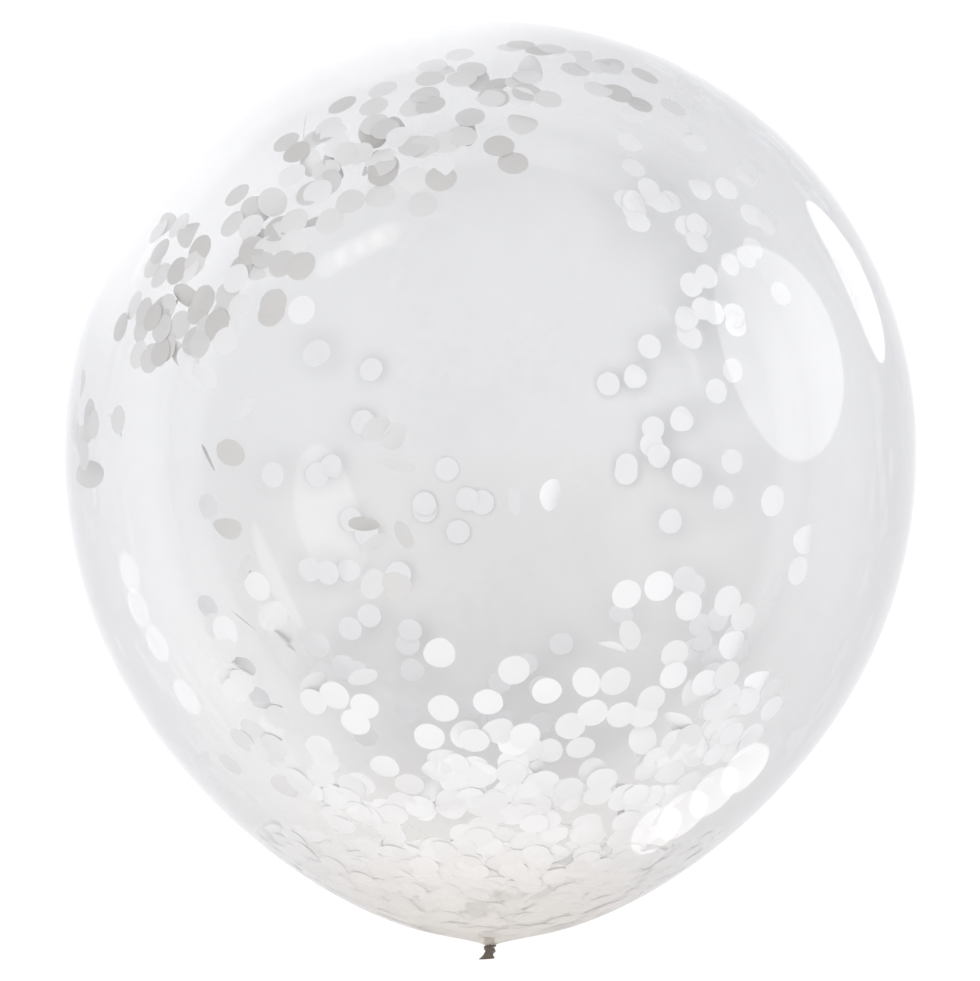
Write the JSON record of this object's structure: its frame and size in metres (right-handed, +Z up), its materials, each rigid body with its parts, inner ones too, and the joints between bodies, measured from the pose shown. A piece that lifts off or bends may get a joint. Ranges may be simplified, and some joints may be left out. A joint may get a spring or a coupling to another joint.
{
  "type": "confetti balloon",
  "caption": "Large clear latex balloon, blown up and knotted at its neck, with white tissue confetti inside, lying on its side.",
  "frame": {"origin": "on the floor, on the flat spot that the balloon rests on, straight below the middle of its widest ring", "axes": "the balloon's own axis is level and runs along Y, +Y towards the crown and -Y towards the knot; +Z is up, away from the floor; X runs across"},
  "size_m": [0.9, 0.9945, 0.8945],
  "materials": {
    "clear_latex": "clear, glossy dipped natural latex, stretched thin, a little cloudy towards the neck",
    "tissue_paper": "matt white tissue paper, punched into round discs, light showing through"
  },
  "bodies": {
    "root": {"balloon": "clear_latex"}
  },
  "joints": []
}
